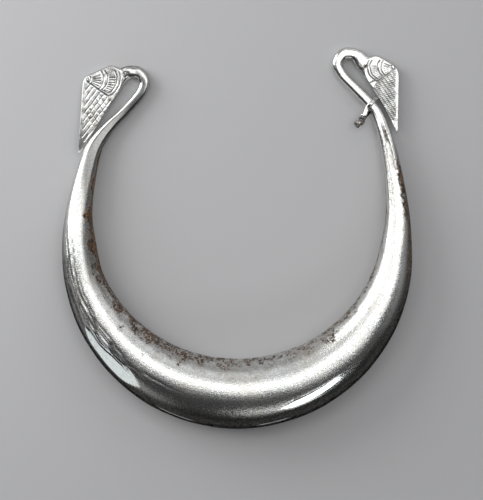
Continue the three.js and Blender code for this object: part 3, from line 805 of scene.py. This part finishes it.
def wire_mesh():
    """Points, faces and surface values of the wire: tail, wrap round the neck and twist about the tail."""
    place = np.array([*WIRE_PLACE, 0.0])
    tail = np.array([*WIRE_TAIL, 0.0]) - place
    length = np.linalg.norm(tail)
    down = tail / length
    sideways = np.array([-down[1], down[0], 0])
    up = np.array([0, 0, 1.0])
    middle, width = [], []

    def add(along, across, rise, flat):
        middle.append(place + along * down + across * sideways + rise * up)
        width.append(flat)

    for share in TAIL_SHARES:
        add(share * length, (1 - share) * WIRE_SPREAD, TAIL_RISE, sideways)
    for angle in WRAP_ANGLES:
        lean = WIRE_SPREAD * (angle - 180) / WRAP_HALF
        turn = math.radians(angle)
        add(WIRE_WRAP[0] * math.cos(turn), lean, WIRE_WRAP[1] * math.sin(turn), sideways)
    coil = WIRE_HALF_WIDTH + WIRE_HALF_THICKNESS + WIRE_GAP
    stops = int(TWIST_STOPS * TWIST_TURNS)
    for i in range(stops + 1):
        turn = 2 * math.pi * i / TWIST_STOPS
        flat = lerp(sideways, down, min(1, i / 2))
        reached = lerp(*TWIST_SHARE, i / stops) * length
        add(reached, -coil * math.sin(turn), TAIL_RISE + coil * math.cos(turn), flat)
    curve, _ = spline(middle, False, CURVE_STEPS)
    flats, _ = spline(width, False, CURVE_STEPS)
    wanted = np.linspace(0, len(curve) - 1, WIRE_STEPS + 1)

    def pick(values):
        counted = np.arange(len(values))
        return np.stack([np.interp(wanted, counted, values[:, i]) for i in range(3)], 1)

    along = pick(np.gradient(curve, axis=0))
    along /= np.linalg.norm(along, axis=1, keepdims=True)
    flat = pick(flats)
    flat -= along * np.sum(flat * along, axis=1, keepdims=True)
    flat *= WIRE_HALF_WIDTH / np.linalg.norm(flat, axis=1, keepdims=True)
    thick = np.cross(along, flat)
    thick *= WIRE_HALF_THICKNESS / np.linalg.norm(thick, axis=1, keepdims=True)
    angles = np.linspace(0, 2 * math.pi, WIRE_SIDES, endpoint=False)
    round_flat, round_thick = swell(np.cos(angles), WIRE_SQUARE), swell(np.sin(angles), WIRE_SQUARE)
    grid = pick(curve)[:, None] + flat[:, None] * round_flat[None, :, None]
    grid = grid + thick[:, None] * round_thick[None, :, None]
    index = np.arange(grid.shape[0] * WIRE_SIDES).reshape(-1, WIRE_SIDES)
    faces = rows_of_quads(index) + [index[0][::-1].tolist(), index[-1].tolist()]
    points = grid.reshape(-1, 3)
    rows = len(wanted)
    along_wire = np.repeat(wanted * WIRE_GRAIN, WIRE_SIDES)
    straight = np.stack([along_wire, np.tile(round_flat, rows), np.tile(round_thick, rows)], 1)
    cleaner = np.repeat(smoothstep(np.linspace(1, 0, rows), 0, WIRE_STAIN_END), WIRE_SIDES)
    patches = WIRE_PATCHES[0] * waves(points, WIRE_PATCHES[1], SEEDS["wire"])
    stain = np.clip(WIRE_STAIN - WIRE_CLEANER * cleaner + patches, 0, 1)
    share = np.repeat(wanted / wanted[-1], WIRE_SIDES)
    # Painted shade: the tail is painted dark grey, and the twist darker grey by half.
    patina = np.maximum(1 - smoothstep(share, *TAIL_DARK), TWIST_DARKENING * smoothstep(share, *TWIST_DARK))
    zero = np.zeros(len(points))
    return points, faces, {"straight": straight, "stain": stain, "polish": zero, "groove": zero,
                           "satin": zero, "patina": patina}


def silver(name, tint, roughness):
    """Worn silver: satin grain along the bar, painted dark reflection and patina, brown tarnish in pits
    and dark engraving.
    """
    material = bpy.data.materials.new(name)
    material.use_nodes = True
    tree = material.node_tree
    shader = tree.nodes["Principled BSDF"]

    def node(kind, inputs, **settings):
        made = tree.nodes.new(kind)
        for key, value in settings.items():
            setattr(made, key, value)
        for key, value in inputs.items():
            if isinstance(value, bpy.types.NodeSocket):
                tree.links.new(value, made.inputs[key])
            else:
                made.inputs[key].default_value = value
        return made

    def attribute(key, output="Fac"):
        return node("ShaderNodeAttribute", {}, attribute_name=key).outputs[output]

    def math_of(kind, a, b):
        return node("ShaderNodeMath", {0: a, 1: b}, operation=kind).outputs[0]

    def times(a, b):
        return math_of("MULTIPLY", a, b)

    def plus(a, b):
        return math_of("ADD", a, b)

    def minus(a, b):
        return math_of("SUBTRACT", a, b)

    def clamped(value, low, high):
        return node("ShaderNodeMapRange", {0: value, 1: low, 2: high}, clamp=True).outputs[0]

    def mixed(share, a, b):
        return node("ShaderNodeMix", {0: share, 6: a, 7: b}, data_type="RGBA").outputs[2]

    def mapped(vector, **inputs):
        return node("ShaderNodeMapping", {"Vector": vector, **inputs}).outputs[0]

    def noise(vector, scale, detail, rough):
        inputs = {"Vector": vector, "Scale": scale, "Detail": detail, "Roughness": rough}
        return node("ShaderNodeTexNoise", inputs).outputs[0]

    place = attribute("straight", "Vector")
    stain, polish, groove = attribute("stain"), attribute("polish"), attribute("groove")
    satin, patina = attribute("satin"), attribute("patina")
    fine = noise(mapped(place, Scale=GRAIN_STRETCH), *FINE_NOISE)
    scratch = noise(mapped(place, Scale=SCRATCH_STRETCH), *SCRATCH_NOISE)
    broad, speck, patchy = (noise(place, *kind) for kind in (BROAD_NOISE, SPECK_NOISE, PATCH_NOISE))
    rust = noise(mapped(place, Location=RUST_OFFSET), *RUST_NOISE)

    ragged = plus(stain, times(minus(speck, 0.5), SPECK_EDGE))
    ragged = plus(ragged, times(minus(patchy, 0.5), PATCH_EDGE))
    brown = clamped(ragged, *BROWN_RANGE)
    # Painted dark reflection and patina: where this share rises, the base colour goes to near-black grey
    # and the specular tint dims.
    dulled = plus(times(patina, DULLING_EVEN), times(times(patina, clamped(fine, *DULLING_RANGE)), DULLING_GRAINY))
    aged = minus(rust, times(minus(stain, RUST_MIDDLE), RUST_LEAN))
    colour = mixed(times(clamped(broad, *WARM_RANGE), WARM_SHARE), tint, WARM_SILVER)
    colour = mixed(times(clamped(fine, *GRAIN_RANGE), GRAIN_SHARE), colour, GRAIN_GREY)
    colour = mixed(polish, colour, COOL_POLISH)
    colour = mixed(dulled, colour, SHADE_AND_PATINA_GREY)
    colour = mixed(times(clamped(ragged, *HAZE_RANGE), HAZE_SHARE), colour, BROWN_HAZE)
    colour = mixed(brown, colour, mixed(clamped(aged, *RUST_RANGE), LIGHT_BROWN, DARK_BROWN))
    colour = mixed(times(groove, ENGRAVED_SHARE), colour, ENGRAVED_GREY)
    tree.links.new(colour, shader.inputs["Base Color"])
    tree.links.new(mixed(dulled, EDGE_WHITE, EDGE_DIM), shader.inputs["Specular Tint"])
    tree.links.new(clamped(minus(1.0, brown), *METAL_RANGE), shader.inputs["Metallic"])

    rough = plus(times(broad, ROUGH_BROAD), times(fine, ROUGH_FINE))
    rough = plus(rough, times(satin, ROUGH_SATIN))
    rough = plus(rough, times(brown, ROUGH_BROWN))
    rough = minus(rough, times(polish, ROUGH_POLISH))
    tree.links.new(clamped(plus(rough, roughness), 0.0, 1.0), shader.inputs["Roughness"])

    relief = times(plus(fine, times(scratch, SCRATCH_HEIGHT)), satin)
    relief = times(relief, minus(1.0, times(polish, POLISH_SMOOTHING)))
    relief = plus(relief, times(times(speck, brown), RUST_HEIGHT))
    bump = node("ShaderNodeBump", {"Height": relief, "Strength": 1.0, "Distance": BUMP_HEIGHT})
    tree.links.new(bump.outputs[0], shader.inputs["Normal"])
    return material


def pale_floor():
    mesh = bpy.data.meshes.new("floor")
    corners = [(-1, -1), (1, -1), (1, 1), (-1, 1)]
    mesh.from_pydata([(x * FLOOR_REACH, y * FLOOR_REACH, 0) for x, y in corners], [], [(0, 1, 2, 3)])
    floor = bpy.data.objects.new("floor", mesh)
    bpy.context.scene.collection.objects.link(floor)
    pale = bpy.data.materials.new("pale_floor")
    pale.use_nodes = True
    shader = pale.node_tree.nodes["Principled BSDF"]
    shader.inputs["Base Color"].default_value = FLOOR_COLOUR
    shader.inputs["Roughness"].default_value = FLOOR_ROUGHNESS
    mesh.materials.append(pale)


def sky():
    """Soft surroundings, brighter beyond the finials and dim on the near side."""
    world = bpy.context.scene.world or bpy.data.worlds.new("studio")
    bpy.context.scene.world = world
    world.use_nodes = True
    tree = world.node_tree
    background = tree.nodes["Background"]
    background.inputs["Color"].default_value = SKY_COLOUR
    direction = tree.nodes.new("ShaderNodeTexCoord")
    split = tree.nodes.new("ShaderNodeSeparateXYZ")
    fade = tree.nodes.new("ShaderNodeMapRange")
    tree.links.new(direction.outputs["Generated"], split.inputs[0])
    tree.links.new(split.outputs["Y"], fade.inputs["Value"])
    for key, value in SKY_FADE.items():
        fade.inputs[key].default_value = value
    tree.links.new(fade.outputs[0], background.inputs["Strength"])


def lamps():
    for name, place, size, power in LIGHTS:
        light = bpy.data.lights.new(name, "AREA")
        light.shape = "RECTANGLE"
        light.size, light.size_y = size
        light.energy = power
        lamp = bpy.data.objects.new(name, light)
        lamp.location = place
        lamp.rotation_euler = (-Vector(place)).to_track_quat("-Z", "Y").to_euler()
        bpy.context.scene.collection.objects.link(lamp)


def camera(shift):
    """Looks straight down on the ring's plane, with the finials at the top."""
    lean = math.radians(CAMERA_LEAN)
    rest = resting_turn()
    back = rest @ Vector((0, math.sin(lean), math.cos(lean)))
    up = rest @ Vector((0, math.cos(lean), -math.sin(lean)))
    target = (rest @ Vector(CAMERA_TARGET) + Vector(shift)) * MM
    data = bpy.data.cameras.new("camera")
    data.lens = CAMERA_LENS
    data.sensor_width = SENSOR_WIDTH
    eye = bpy.data.objects.new("camera", data)
    axes = Matrix((up.cross(back), up, back)).transposed()
    eye.matrix_world = Matrix.Translation(target + back * CAMERA_DISTANCE) @ axes.to_4x4()
    bpy.context.scene.collection.objects.link(eye)
    bpy.context.scene.camera = eye


plain, points, faces, attributes = ring_mesh()
plain, points = laid_down(plain), laid_down(points)
low, high = (np.array(corner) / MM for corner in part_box("neck_ring"))
shift = (low + high) / 2 - (plain.min(0) + plain.max(0)) / 2
shift[2] = high[2] - plain[:, 2].max()
points = points + shift
points[:, 2] = np.maximum(points[:, 2], 0)
worn_silver_with_painted_shade = silver("worn_silver_with_painted_shade", RING_TINT, RING_ROUGHNESS)
ring = mesh_object("ring", points, faces, attributes, worn_silver_with_painted_shade)
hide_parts("neck_ring")

points, faces, attributes = wire_mesh()
points = laid_down(points) + shift
points[:, 2] = np.maximum(points[:, 2], 0)
wire_silver = silver("wire_silver", WIRE_TINT, WIRE_ROUGHNESS)
wire = mesh_object("twisted_wire", points, faces, attributes, wire_silver)
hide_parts("wire_loop")

pale_floor()
sky()
lamps()
bpy.context.scene.view_settings.view_transform = "Standard"
camera(shift)
